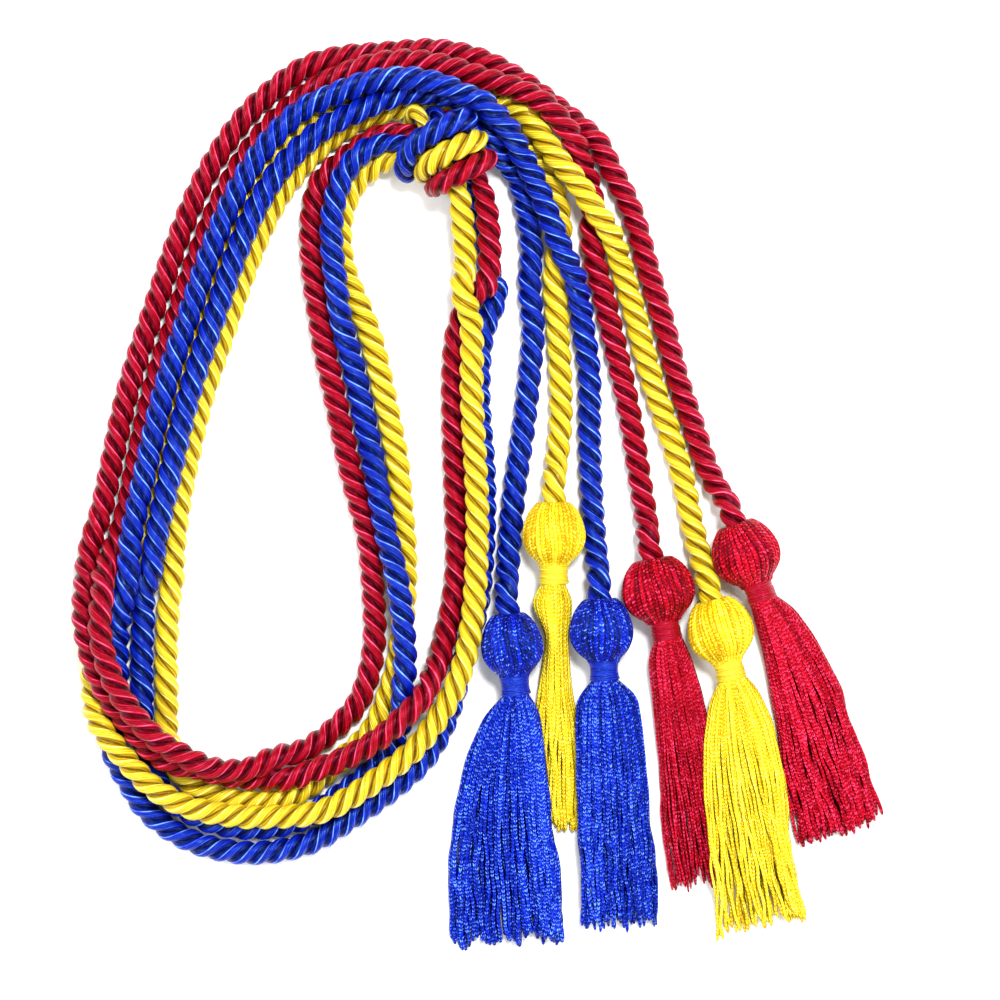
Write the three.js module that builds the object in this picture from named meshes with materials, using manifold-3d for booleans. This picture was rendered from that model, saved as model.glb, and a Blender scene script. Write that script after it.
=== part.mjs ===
// Honor cord: three twisted cords, red, blue and gold, tied together in one overhand knot and laid
// down flat in loose loops, with a tassel at each of the six ends. Millimetres, +Z up, the floor at z = 0.
import * as THREE from "three";
import { mergeVertices } from "three/addons/utils/BufferGeometryUtils.js";
import Module from "manifold-3d";

const wasm = await Module();
wasm.setup();

// Cords
const CORD_DIAMETER = 7.4;
const CORD_SIDES = 9;
const CORD_CLEARANCE = 0.65; // between the surfaces of two cords that touch
const KNOT_CLEARANCE = 0.7; // the same where the knot squeezes them
const FLOOR_CLEARANCE = 0.1; // under a cord, for its facets
const LONGEST_STEP = 22; // of a cord's facets, where it runs straight
const FACET_SAG = 0.5; // how far a facet may cut inside a bend
const KNOT_SAG = 0.24; // the same in the knot

// Tassels
const HEAD_DIAMETER = 20;
const HEAD_LENGTH = 19.5;
const HEAD_SIDES = 12;
const AXIS_HEIGHT = 9; // of a head's axis over the floor, a little under its radius, as it is pressed flat
const STEM_DIAMETER = 7;
const BINDING_DIAMETER = 10.4;
const BINDING_LENGTH = 6.4;
const SKIRT_LENGTH = 78;
const SKIRT_WIDTH = 33;
const SKIRT_THICKNESS = 7;
const SKIRT_LOCKS = 9;
const LOCK_GROOVE = 0.14; // share of the skirt's thickness
const LOCK_STAGGER = 1.4; // how far the locks' ends differ in length
const CLEARANCE = 0.3; // between a tassel's pieces, and between skirts that lie on each other
const CORD_END_GAP = 0.6; // between a cord's end and the head that it goes into

// The routes and the tassels' places are drawn on a flat grid, seen from above: right, down, and for a cord
// its level over the floor, in cord pitches.
const GRID = 0.32; // millimetres for one grid unit
const ORIGIN_RIGHT = 664;
const ORIGIN_DOWN = 726;

// How the drawn cords settle on each other and on the floor
const SAMPLE_STEP = 2.8; // between the points that settle
const ROUNDS = 320;
const SETTLED_ROUNDS = 140; // the last rounds, which only part the cords
const PAIR_ROUNDS = 6; // rounds between two searches for cords that meet
const PAIR_REACH = 2.5; // how far beyond touching that search looks
const HOLD = 0.07; // pull towards the drawn place, each round
const EASE = 0.16; // smoothing, each round
const LAST_SHARE = 0.04; // of the pull and the smoothing that is left in the last rounds
const PART = 0.45; // share of an overlap that is parted, each round
const SINK = 0.03; // how far a cord sinks, each round

const SHADES = {
  red: { color: 0xa80f24, roughness: 0.45, metalness: 0 },
  blue: { color: 0x10229a, roughness: 0.45, metalness: 0 },
  gold: { color: 0xe0a21a, roughness: 0.45, metalness: 0 },
};

// One row per tassel: the grid place where the cord goes into the head, the lean of the head's axis in
// degrees, the head's width as a share of HEAD_DIAMETER if it isn't 1, and the skirt's sections. A section's
// columns are its place along the skirt, its reach to the left and to the right of the axis as shares of
// SKIRT_WIDTH, and, as shares of SKIRT_THICKNESS, its lift off the floor at the axis, its thickness, and the
// further lift of its left and of its right edge.
const TASSELS = {
  blue_1: {
    shade: "blue", right: 508, down: 612, lean: 5.5,
    skirt: [
      [0, 0.14, 0.13, 0.66, 1.22, 0, 0],
      [0.07, 0.34, 0.22, 0.3, 1.2, 0, 0.1],
      [0.22, 0.54, 0.24, 0.06, 1.15, 0, 0.5],
      [0.45, 0.73, 0.24, 0, 1, 0, 0.7],
      [0.72, 0.86, 0.26, 0, 0.95, 0, 0.7],
      [1, 0.89, 0.23, 0, 0.85, 0, 0.6],
    ],
  },
  gold_1: {
    shade: "gold", right: 554, down: 500, lean: 0,
    skirt: [
      [0, 0.13, 0.12, 0.66, 1.22, 0, 0],
      [0.07, 0.24, 0.2, 0.3, 1.25, 0, 0],
      [0.22, 0.08, 0.155, 0.05, 1.6, 0, 0],
      [0.45, 0.17, 0.18, 0, 0.9, 0, 0],
      [0.72, 0.26, 0.34, 0, 0.6, 0, 0],
      [1, 0.24, 0.35, 0, 0.5, 0, 0],
    ],
  },
  blue_2: {
    shade: "blue", right: 600, down: 597, lean: 3.5, width: 1.03,
    skirt: [
      [0, 0.14, 0.14, 0.66, 1.22, 0, 0],
      [0.07, 0.3, 0.33, 0.3, 1.2, 0.1, 0],
      [0.22, 0.33, 0.36, 0.06, 1.15, 0.5, 0],
      [0.45, 0.35, 0.37, 0, 1.05, 0.7, 0],
      [0.72, 0.36, 0.39, 0, 0.95, 0.7, 0],
      [1, 0.37, 0.41, 0, 0.85, 0.6, 0],
    ],
  },
  red_1: {
    shade: "red", right: 652, down: 557, lean: 11, width: 1.12,
    skirt: [
      [0, 0.15, 0.15, 0.66, 1.22, 0, 0],
      [0.07, 0.24, 0.2, 0.3, 1.2, 0, 0],
      [0.22, 0.26, 0.25, 0.06, 1.15, 0, 0],
      [0.45, 0.31, 0.26, 0, 1, 0, 0],
      [0.72, 0.4, 0.19, 0, 0.9, 0, 0],
      [1, 0.44, 0.06, 0, 0.8, 0, 0],
    ],
  },
  gold_2: {
    shade: "gold", right: 712, down: 598, lean: 14, width: 1.06,
    skirt: [
      [0, 0.14, 0.15, 0.66, 1.22, 0, 0],
      [0.07, 0.28, 0.24, 0.3, 1.2, 0.1, 0.1],
      [0.22, 0.43, 0.31, 0.06, 1.15, 0.3, 0.2],
      [0.45, 0.55, 0.28, 0, 1, 0.7, 0.5],
      [0.72, 0.65, 0.16, 0, 0.95, 0.8, 0.5],
      [1, 0.76, 0.15, 0, 0.85, 0.6, 0.5],
    ],
  },
  red_2: {
    shade: "red", right: 735, down: 522, lean: 20, width: 1.1,
    skirt: [
      [0, 0.14, 0.15, 0.66, 1.22, 0, 0],
      [0.07, 0.15, 0.28, 0.3, 1.2, 0, 0],
      [0.22, 0.18, 0.38, 0.06, 1.15, 0, 0],
      [0.45, 0.26, 0.46, 0, 1, 0, 0],
      [0.72, 0.41, 0.42, 0, 0.9, 0, 0],
      [1, 0.47, 0.37, 0, 0.8, 0, 0],
    ],
  },
};
const SKIRT_COLUMNS = ["at", "left", "right", "lift", "thickness", "leftLift", "rightLift"];

// The skirts that lie on others: each is cut to the ones beneath it.
const LIES_ON = { blue_1: ["gold_1"], blue_2: ["gold_1"], gold_2: ["red_1", "red_2"] };

// One row per point, chosen by hand: right, down, level, and in the knot the share of its diameter that the
// cord keeps there. Each cord starts and ends at a tassel.
const ROUTES = {
  red: {
    from: "red_1",
    to: "red_2",
    points: [
      [648, 524, 0.15], [641, 480, 0], [630, 410, 0], [616, 345, 0], [603, 285, 0], [598, 240, 0],
      [592, 190, 0], [582, 155, 0.5], [568, 130, 0.88], [547, 110, 0.9], [521, 91, 0.88], [485, 78, 0.88],
      [440, 65, 0.9], [400, 59, 0.9], [365, 65, 0.8], [330, 82, 0.4], [300, 105, 0], [262, 140, 0],
      [228, 190, 0], [203, 245, 0], [174, 325, 0], [150, 400, 0], [132, 480, 0], [117, 545, 0.1],
      [105, 590, 1.5], [101, 625, 1.9], [108, 662, 1.95], [127, 702, 1.95], [160, 740, 1.9],
      [205, 766, 1.6], [250, 771, 1.1], [300, 754, 0.5], [333, 731, 0], [359, 703, 0], [369, 674, 0],
      [374, 640, 0], [373, 600, 0], [369, 550, 0], [358, 470, 0], [340, 400, 0], [320, 325, 0],
      [310, 255, 0], [311, 205, 0], [321, 170, 0], [338, 147, 0], [362, 136, 0.3], [388, 130, 0.8, 0.7],
      [412, 130, 1.15, 0.55], [434, 133, 1.2, 0.5], [450, 139, 0.8, 0.5], [464, 147, 0.6, 0.5],
      [481, 152, 0.9, 0.6], [490, 156, 1.6, 0.75], [484, 161, 2.3, 0.9], [462, 172, 2.6, 0.95],
      [440, 183, 2.1, 0.9], [429, 187, 1.1, 0.65], [431, 180, 0.1, 0.5], [431, 152, 0, 0.5],
      [434, 120, 0, 0.5], [443, 112, 0.7, 0.5], [453, 112, 1.4, 0.5], [461, 129, 1.95, 0.5],
      [468, 150, 1.95, 0.5], [475, 170, 1.6, 0.6], [483, 190, 1.2, 0.85], [487, 213, 0.95], [489, 250, 0.9],
      [487, 283, 0.8], [472, 305, 0.1], [458, 323, 0], [453, 360, 0], [453, 430, 0], [456, 518, 0],
      [457, 564, 0], [452, 610, 0], [440, 658, 0.4], [427, 686, 1.2], [409, 711, 1.75], [383, 736, 1.6],
      [348, 757, 1.2], [302, 775, 0.8], [251, 784, 0.3], [213, 778, 0.3], [170, 763, 0.6], [138, 740, 1],
      [112, 706, 1], [93, 665, 1], [84, 625, 1], [83, 590, 0.7], [88, 555, 0.1], [98, 520, 0],
      [110, 472, 0], [129, 385, 0], [152, 314, 0], [179, 230, 0], [202, 176, 0], [238, 122, 0],
      [290, 78, 0], [330, 62, 0], [365, 54, 0], [400, 49, 0], [430, 46, 0], [460, 50, 0], [490, 60, 0],
      [520, 77, 0], [548, 98, 0], [576, 121, 0], [602, 152, 0], [630, 202, 0], [650, 270, 0], [666, 326, 0],
      [682, 391, 0], [700, 445, 0], [720, 492, 0.2],
    ],
  },
  blue: {
    from: "blue_1",
    to: "blue_2",
    points: [
      [507, 580, 0.15], [510, 540, 0], [514, 495, 0], [524, 426, 0], [530, 370, 0], [535, 315, 0],
      [533, 255, 0], [527, 209, 0], [518, 173, 0], [501, 138, 0.35], [470, 108, 0.8], [435, 96, 0.87],
      [395, 95, 0.87], [340, 118, 0.87], [290, 158, 0.87], [255, 207, 0.87], [232, 262, 0.87],
      [208, 335, 0.87], [186, 400, 0.87], [168, 472, 0.87], [154, 541, 0.87], [145, 575, 0.4],
      [139, 612, 0], [136, 657, 0], [136, 704, 0], [144, 757, 0], [158, 792, 0], [178, 814, 0],
      [209, 827, 0], [250, 832, 0], [300, 823, 0], [338, 798, 0], [372, 772, 0], [395, 746, 0.2],
      [400, 716, 0.7], [404, 690, 0.9], [405, 655, 1], [403, 620, 1], [399, 585, 0.95], [391, 545, 0.7],
      [377, 492, 0.2], [361, 414, 0], [347, 341, 0.2], [337, 285, 0.9], [332, 245, 0.9], [332, 220, 0.9],
      [335, 200, 0.9], [341, 179, 0.9], [351, 160, 0.9], [369, 146, 0.95], [388, 140, 1.15, 0.75],
      [412, 142, 1.3, 0.5], [434, 146, 1.2, 0.5], [452, 138, 1, 0.5], [465, 128, 1, 0.5],
      [475, 120, 1.7, 0.75], [464, 122, 2.55, 0.95], [441, 133, 2.75, 0.98], [420, 144, 2.45, 0.98],
      [407, 157, 1.9, 0.95], [406, 171, 1.2, 0.75], [412, 180, 0.5, 0.6], [416, 168, 0.6, 0.5],
      [419, 148, 0.6, 0.5], [420, 124, 0.55, 0.5], [428, 108, 0.6, 0.5], [438, 107, 1.3, 0.5],
      [444, 126, 1.9, 0.5], [452, 150, 1.9, 0.5], [461, 170, 1.6, 0.5], [470, 187, 0.8, 0.6],
      [479, 204, 0.3, 0.9], [485, 232, 0], [488, 270, 0], [485, 310, 0], [480, 350, 0], [478, 400, 0],
      [483, 460, 0], [484, 510, 0], [482, 560, 0], [476, 610, 0], [462, 662, 0], [450, 710, 0],
      [428, 757, 0], [402, 783, 0], [366, 810, 0], [315, 841, 0], [277, 852, 0], [239, 854, 0],
      [192, 841, 0], [149, 809, 0], [118, 772, 0], [107, 740, 0], [113, 700, 0], [117, 658, 0],
      [119, 625, 0.2], [121, 589, 0.95], [129, 541, 0.87], [145, 472, 0.87], [167, 380, 0.87],
      [190, 314, 0.87], [210, 250, 0.87], [232, 198, 0.87], [262, 148, 0.87], [304, 106, 0.87],
      [345, 89, 1], [385, 82, 1.6], [425, 83, 1.74], [453, 92, 1.74], [473, 104, 1.7], [492, 118, 1.5],
      [510, 139, 1.25], [529, 167, 1], [545, 205, 0.9], [557, 238, 1], [570, 278, 0.3], [582, 321, 0],
      [590, 370, 0], [590, 430, 0], [592, 490, 0], [597, 560, 0.15],
    ],
  },
  gold: {
    from: "gold_1",
    to: "gold_2",
    points: [
      [556, 466, 0.15], [561, 426, 0], [561, 380, 0], [558, 320, 0], [556, 280, 0], [561, 245, 0],
      [560, 212, 0], [551, 180, 0], [533, 151, 0], [507, 128, 0], [470, 113, 0], [430, 105, 0],
      [392, 105, 0], [347, 124, 0], [308, 148, 0], [275, 186, 0], [250, 248, 0], [228, 305, 0],
      [203, 378, 0], [183, 465, 0], [173, 541, 0], [168, 590, 0], [164, 650, 0], [163, 703, 0],
      [167, 752, 0], [183, 784, 0], [215, 796, 0], [264, 801, 0], [300, 792, 0], [332, 768, 0],
      [354, 750, 0], [370, 734, 0], [382, 716, 0], [390, 696, 0], [397, 670, 0], [401, 640, 0],
      [404, 600, 0], [404, 560, 0], [397, 505, 0], [385, 430, 0], [375, 365, 0], [358, 310, 0],
      [343, 270, 0], [338, 235, 0], [341, 207, 0], [351, 185, 0], [365, 169, 0.2], [379, 160, 0.5],
      [392, 156, 0.85, 0.75], [414, 159, 1.2, 0.5], [439, 163, 1.15, 0.5], [459, 155, 1, 0.5],
      [475, 145, 1.05, 0.6], [482, 140, 1.8, 0.75], [474, 144, 2.5, 0.95], [451, 156, 2.75, 0.98],
      [432, 167, 2.35, 0.95], [419, 178, 1.2, 0.65], [420, 172, 0.2, 0.5], [412, 156, 0, 0.5],
      [408, 130, 0, 0.5], [409, 113, 0.4, 0.5], [412, 108, 1.1, 0.58], [417, 111, 1.85, 0.62],
      [426, 128, 1.95, 0.5], [438, 152, 1.95, 0.5], [449, 172, 1.9, 0.6], [459, 190, 1.6, 0.85],
      [462, 215, 1.2], [466, 255, 0.95], [469, 290, 1.2], [472, 325, 1.1], [472, 391, 0.95],
      [475, 450, 0.95], [478, 510, 0.95], [477, 560, 0.95], [474, 610, 0.95], [464, 664, 0.9],
      [446, 706, 0.95], [418, 746, 0.95], [386, 773, 1], [346, 800, 1], [315, 814, 0.9], [264, 818, 0.85],
      [209, 814, 0.85], [180, 805, 0.9], [150, 786, 1], [124, 757, 0.9], [107, 725, 0.4], [97, 690, 0],
      [89, 652, 0], [90, 620, 0], [106, 600, 0], [126, 570, 0], [143, 535, 0], [157, 472, 0], [178, 380, 0],
      [201, 314, 0], [223, 250, 0], [247, 198, 0], [276, 150, 0], [318, 108, 0], [360, 84, 0], [400, 74, 0],
      [430, 73, 0], [458, 81, 0], [484, 96, 0], [503, 108, 0.1], [524, 121, 0.4], [547, 139, 0.8],
      [565, 161, 0.95], [582, 188, 1], [604, 229, 0.5], [619, 266, 0], [632, 298, 0], [645, 350, 0],
      [657, 391, 0], [671, 426, 0], [684, 477, 0], [698, 545, 0.15],
    ],
  },
};

// A grid place as millimetres on the floor.
function place(right, down) {
  return new THREE.Vector3((right - ORIGIN_RIGHT) * GRID, (ORIGIN_DOWN - down) * GRID, 0);
}

// The way that a tassel points, from its cord to its skirt.
function direction(tassel) {
  const lean = THREE.MathUtils.degToRad(tassel.lean);
  return new THREE.Vector3(Math.sin(lean), -Math.cos(lean), 0);
}

// Where a cord ends at its tassel, and the point before it, in line with the head's axis.
function cordEnd(tassel) {
  const end = place(tassel.right, tassel.down).setZ(AXIS_HEIGHT);
  const before = end.clone().addScaledVector(direction(tassel), -CORD_DIAMETER);
  before.z -= CORD_DIAMETER / 8;
  return { end, before, girth: 1 };
}

// The drawn centreline of a cord, as evenly spaced samples that carry their drawn place and their radius.
function drawnSamples(route) {
  const start = cordEnd(TASSELS[route.from]);
  const finish = cordEnd(TASSELS[route.to]);
  const pitch = CORD_DIAMETER + CORD_CLEARANCE;
  const points = [start.end, start.before];
  const girths = [1, 1];
  for (const [right, down, level, girth = 1] of route.points) {
    points.push(place(right, down).setZ(level * pitch + (girth * CORD_DIAMETER) / 2));
    girths.push(girth);
  }
  points.push(finish.before, finish.end);
  girths.push(1, 1);
  const curve = new THREE.CatmullRomCurve3(points, false, "centripetal");
  curve.arcLengthDivisions = points.length * 20;
  const count = Math.round(curve.getLength() / SAMPLE_STEP);
  const samples = [];
  for (let i = 0; i <= count; i += 1) {
    const t = curve.getUtoTmapping(i / count);
    const along = t * (points.length - 1);
    const before = Math.min(Math.floor(along), points.length - 2);
    const girth = THREE.MathUtils.lerp(girths[before], girths[before + 1], along - before);
    const at = curve.getPoint(t);
    samples.push({ at, drawn: at.clone(), radius: (girth * CORD_DIAMETER) / 2, push: new THREE.Vector3() });
  }
  return samples;
}

// How far apart two samples of cord lie where they touch.
function touching(one, other) {
  const squeezed = Math.max(one.radius, other.radius) < CORD_DIAMETER / 2 - 0.01;
  return one.radius + other.radius + (squeezed ? KNOT_CLEARANCE : CORD_CLEARANCE);
}

// The pairs of samples near enough to meet, leaving out close neighbours on one cord.
function nearPairs(cords) {
  const all = cords.flatMap((samples, cord) => samples.map((sample, index) => ({ sample, cord, index })));
  const pairs = [];
  for (let i = 0; i < all.length; i += 1) {
    for (let j = i + 1; j < all.length; j += 1) {
      const reach = touching(all[i].sample, all[j].sample);
      if (all[i].sample.at.distanceToSquared(all[j].sample.at) > (reach + PAIR_REACH) ** 2) continue;
      const apart = (all[j].index - all[i].index) * SAMPLE_STEP;
      if (all[i].cord === all[j].cord && apart < reach * 1.6) continue;
      pairs.push([all[i].sample, all[j].sample, reach]);
    }
  }
  return pairs;
}

// One round of settling. The two samples at each end of a cord stay where its tassel holds them.
function settleRound(cords, pairs, hold, ease, sink) {
  for (const samples of cords) {
    for (let i = 0; i < samples.length; i += 1) {
      const { at, drawn, push } = samples[i];
      push.set(0, 0, -sink);
      if (i < 3 || i > samples.length - 4) continue;
      push.x += (drawn.x - at.x) * hold;
      push.y += (drawn.y - at.y) * hold;
      push.z += (drawn.z - at.z) * hold * 0.6;
      const middle = samples[i - 1].at.clone().add(samples[i + 1].at).multiplyScalar(0.5);
      push.addScaledVector(middle.sub(at), ease);
    }
  }
  for (const [one, other, reach] of pairs) {
    const apart = other.at.clone().sub(one.at);
    const distance = apart.length();
    if (distance >= reach) continue;
    apart.multiplyScalar(((reach - distance) * PART) / Math.max(distance, 0.001));
    one.push.sub(apart);
    other.push.add(apart);
  }
  for (const samples of cords) {
    for (let i = 3; i < samples.length - 3; i += 1) {
      samples[i].at.add(samples[i].push);
      samples[i].at.z = Math.max(samples[i].at.z, samples[i].radius + FLOOR_CLEARANCE);
    }
  }
}

// Lets the drawn cords lie on the floor and on each other without passing through one another.
function settle(cords) {
  let pairs = [];
  for (let round = 0; round < ROUNDS; round += 1) {
    if (round % PAIR_ROUNDS === 0) pairs = nearPairs(cords);
    const share = round < ROUNDS - SETTLED_ROUNDS ? 1 : LAST_SHARE;
    settleRound(cords, pairs, HOLD * share, EASE * share, SINK * share);
  }
}

// A settled cord as a curve whose steps crowd together where it bends.
class CordCurve extends THREE.Curve {
  constructor(samples) {
    super();
    this.samples = samples;
    this.curve = new THREE.CatmullRomCurve3(samples.map((sample) => sample.at), false, "centripetal");
    this.stations = [0];
    for (let i = 1; i < samples.length; i += 1) {
      this.stations.push(this.stations[i - 1] + this.stepShare(i));
    }
    this.steps = Math.ceil(this.stations[this.stations.length - 1]);
  }

  // The share of one step that the stretch before sample i takes.
  stepShare(i) {
    const before = this.samples[Math.max(i - 2, 0)].at;
    const here = this.samples[Math.min(Math.max(i - 1, 2), this.samples.length - 3)].at;
    const after = this.samples[Math.min(i + 1, this.samples.length - 1)].at;
    const incoming = here.clone().sub(before);
    const outgoing = after.clone().sub(here);
    const turn = incoming.angleTo(outgoing) / Math.max((incoming.length() + outgoing.length()) / 2, 0.001);
    const sag = this.samples[i].radius < CORD_DIAMETER / 2 - 0.01 ? KNOT_SAG : FACET_SAG;
    const step = Math.min(LONGEST_STEP, Math.sqrt((8 * sag) / Math.max(turn, 0.0001)));
    return this.samples[i].at.distanceTo(this.samples[i - 1].at) / step;
  }

  // The place among the samples, from 0 to 1, that is u of the way through the steps.
  warp(u) {
    const wanted = u * this.stations[this.stations.length - 1];
    let i = 1;
    while (i < this.stations.length - 1 && this.stations[i] < wanted) i += 1;
    const share = (wanted - this.stations[i - 1]) / (this.stations[i] - this.stations[i - 1]);
    return Math.min((i - 1 + share) / (this.samples.length - 1), 1);
  }

  getPoint(t, target) {
    return this.curve.getPoint(t, target);
  }

  getPointAt(u, target) {
    return this.getPoint(this.warp(u), target);
  }

  getTangentAt(u, target) {
    return this.getTangent(this.warp(u), target);
  }

  // The section turns with the cord, and is squeezed where the knot squeezes it.
  computeFrenetFrames(segments, closed) {
    const frames = super.computeFrenetFrames(segments, closed);
    for (let i = 0; i <= segments; i += 1) {
      const sample = this.samples[Math.round(this.warp(i / segments) * (this.samples.length - 1))];
      const girth = sample.radius / (CORD_DIAMETER / 2);
      frames.normals[i].multiplyScalar(girth);
      frames.binormals[i].multiplyScalar(girth);
    }
    return frames;
  }
}

// A cord: a plain round tube along its settled route, cut off just outside its two tassel heads.
function cordGeometry(samples) {
  const section = new THREE.Shape();
  for (let i = 0; i < CORD_SIDES; i += 1) {
    const angle = (2 * Math.PI * i) / CORD_SIDES;
    const corner = new THREE.Vector2(Math.cos(angle), Math.sin(angle)).multiplyScalar(CORD_DIAMETER / 2);
    if (i === 0) section.moveTo(corner.x, corner.y);
    else section.lineTo(corner.x, corner.y);
  }
  const curve = new CordCurve(samples);
  return new THREE.ExtrudeGeometry(section, {
    steps: curve.steps, bevelEnabled: false, extrudePath: curve,
  });
}

// A closed geometry as a solid, with its faces turned outwards.
function solidOf(geometry) {
  const plain = geometry.clone();
  plain.deleteAttribute("normal");
  plain.deleteAttribute("uv");
  const merged = mergeVertices(plain, 1e-3);
  const triangles = Uint32Array.from(merged.index.array);
  const points = merged.attributes.position;
  let volume = 0;
  for (let i = 0; i < triangles.length; i += 3) {
    const [a, b, c] = [0, 1, 2].map((k) => new THREE.Vector3().fromBufferAttribute(points, triangles[i + k]));
    volume += a.dot(b.cross(c));
  }
  if (volume < 0) {
    for (let i = 0; i < triangles.length; i += 3) {
      [triangles[i + 1], triangles[i + 2]] = [triangles[i + 2], triangles[i + 1]];
    }
  }
  const vertProperties = Float32Array.from(points.array);
  return new wasm.Manifold(new wasm.Mesh({ numProp: 3, vertProperties, triVerts: triangles }));
}

// A solid back as a geometry.
function geometryOf(solid) {
  const mesh = solid.getMesh();
  const geometry = new THREE.BufferGeometry();
  geometry.setAttribute("position", new THREE.BufferAttribute(mesh.vertProperties, 3));
  geometry.setIndex(new THREE.BufferAttribute(mesh.triVerts, 1));
  geometry.computeVertexNormals();
  return geometry;
}

// Moves each vertex of a geometry by a function of its place.
function shaped(geometry, move) {
  const points = geometry.attributes.position;
  const at = new THREE.Vector3();
  for (let i = 0; i < points.count; i += 1) {
    at.fromBufferAttribute(points, i);
    move(at);
    points.setXYZ(i, at.x, at.y, at.z);
  }
  return geometry;
}

// A tassel's own frame: the cord comes in at the origin along -Y, +X is to the right, and z = 0 is the floor.
// The head: a crown that swells from the cord to its full girth and narrows to the stem under the binding.
function headSolid(width = 1) {
  const full = HEAD_DIAMETER / 2;
  const crown = CORD_DIAMETER / 2 + 0.6;
  const stem = STEM_DIAMETER / 2;
  const profile = [
    [0, 0], [crown, 0], [full * 0.72, 0.08], [full * 0.93, 0.25], [full, 0.48], [full * 0.9, 0.73],
    [full * 0.68, 0.91], [stem + 1.1, 1],
  ].map(([radius, share]) => new THREE.Vector2(radius, -share * HEAD_LENGTH));
  const stemEnd = -(HEAD_LENGTH + BINDING_LENGTH + 2 * CLEARANCE + 2);
  profile.push(new THREE.Vector2(stem, -HEAD_LENGTH));
  profile.push(new THREE.Vector2(stem, stemEnd), new THREE.Vector2(0, stemEnd));
  const head = new THREE.LatheGeometry(profile, HEAD_SIDES);
  head.translate(0, 0, AXIS_HEIGHT);
  return solidOf(shaped(head, (at) => {
    if (at.y > -HEAD_LENGTH) at.x *= width;
    at.z = Math.max(at.z, 0);
  }));
}

// The binding: a wound band round the stem, swelling at its middle.
function bindingGeometry() {
  const inner = STEM_DIAMETER / 2 + CLEARANCE;
  const outer = BINDING_DIAMETER / 2;
  const start = -(HEAD_LENGTH + CLEARANCE);
  const profile = [
    [inner, 0], [outer - 0.5, 0], [outer, 0.5], [outer - 0.5, 1], [inner, 1],
  ].map(([radius, share]) => new THREE.Vector2(radius, start - share * BINDING_LENGTH));
  profile.push(profile[0].clone());
  const binding = new THREE.LatheGeometry(profile, HEAD_SIDES);
  binding.translate(0, 0, AXIS_HEIGHT);
  return geometryOf(solidOf(binding));
}

// The outline that a skirt's sections share: a flat disc with a groove between each two locks on top.
function skirtOutline() {
  const outline = new THREE.Shape();
  const above = SKIRT_LOCKS * 2;
  for (let i = 0; i <= above; i += 1) {
    const across = 1 - (2 * i) / above;
    const high = Math.sqrt(1 - across * across) * (i % 2 ? 1 : 1 - LOCK_GROOVE);
    if (i === 0) outline.moveTo(across, high);
    else outline.lineTo(across, high);
  }
  const below = SKIRT_LOCKS;
  for (let i = 1; i < below; i += 1) {
    const across = (2 * i) / below - 1;
    outline.lineTo(across, -Math.sqrt(1 - across * across));
  }
  return outline;
}

// A skirt: the outline run along its sections. Growth widens it all round, to cut a skirt that lies on it.
function skirtSolid(tassel, growth) {
  const rows = tassel.skirt.map((row) => Object.fromEntries(row.map((v, i) => [SKIRT_COLUMNS[i], v])));
  const start = HEAD_LENGTH + BINDING_LENGTH + 2 * CLEARANCE;
  const bound = 0.5; // height of the widest line of a section, as a share of its thickness, at the binding
  const loose = 0.34; // the same beyond it
  const skirt = new THREE.ExtrudeGeometry(skirtOutline(), {
    depth: 1, steps: rows.length - 1, bevelEnabled: false,
  });
  return solidOf(shaped(skirt, (at) => {
    const index = Math.round(at.z * (rows.length - 1));
    const row = rows[index];
    const lock = Math.round(((1 - at.x) / 2) * SKIRT_LOCKS);
    const stagger = index === rows.length - 1 ? Math.sin(lock * 2.4) * LOCK_STAGGER + growth : 0;
    const along = start + row.at * SKIRT_LENGTH + stagger;
    const reach = (at.x < 0 ? row.left : row.right) * SKIRT_WIDTH + growth;
    const edgeLift = (at.x < 0 ? row.leftLift : row.rightLift) * Math.abs(at.x);
    const thickness = row.thickness * SKIRT_THICKNESS;
    const under = (row.lift + edgeLift) * SKIRT_THICKNESS;
    const waist = (index === 0 ? bound : loose) * thickness;
    const flatter = index === 0 ? 1 : 1.3; // how soon the underside is flat
    const high = at.y > 0
      ? waist + (thickness - waist) * at.y + growth
      : waist * Math.max(0, 1 + at.y * flatter) - growth;
    at.set(at.x * reach, -along, under + high);
  }));
}

// The rotation and place of a tassel's own frame, as one matrix.
function tasselMatrix(tassel) {
  const lean = THREE.MathUtils.degToRad(tassel.lean);
  const offset = place(tassel.right, tassel.down).addScaledVector(direction(tassel), CORD_END_GAP);
  return new THREE.Matrix4().makeRotationZ(lean).setPosition(offset);
}

// A tassel: its head and skirt as one body, cut to the skirts that it lies on.
function tasselGeometry(name) {
  const tassel = TASSELS[name];
  const own = tasselMatrix(tassel).invert();
  let solid = headSolid(tassel.width).add(skirtSolid(tassel, 0));
  for (const under of LIES_ON[name] ?? []) {
    const turned = tasselMatrix(TASSELS[under]).premultiply(own);
    const lower = skirtSolid(TASSELS[under], CLEARANCE).transform(turned.elements);
    solid = solid.subtract(lower);
  }
  return geometryOf(solid);
}

function material(shade) {
  return new THREE.MeshStandardMaterial(SHADES[shade]);
}

const honorCord = new THREE.Group();

const shades = Object.keys(ROUTES);
const settled = shades.map((shade) => drawnSamples(ROUTES[shade]));
settle(settled);
shades.forEach((shade, i) => {
  const cord = new THREE.Mesh(cordGeometry(settled[i]), material(shade));
  cord.name = `cord_${shade}`;
  honorCord.add(cord);
});

for (const [name, tassel] of Object.entries(TASSELS)) {
  const group = new THREE.Group();
  group.applyMatrix4(tasselMatrix(tassel));
  const body = new THREE.Mesh(tasselGeometry(name), material(tassel.shade));
  body.name = `tassel_${name}`;
  const binding = new THREE.Mesh(bindingGeometry(), material(tassel.shade));
  binding.name = `binding_${name}`;
  group.add(body, binding);
  honorCord.add(group);
}

export default honorCord;
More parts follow.
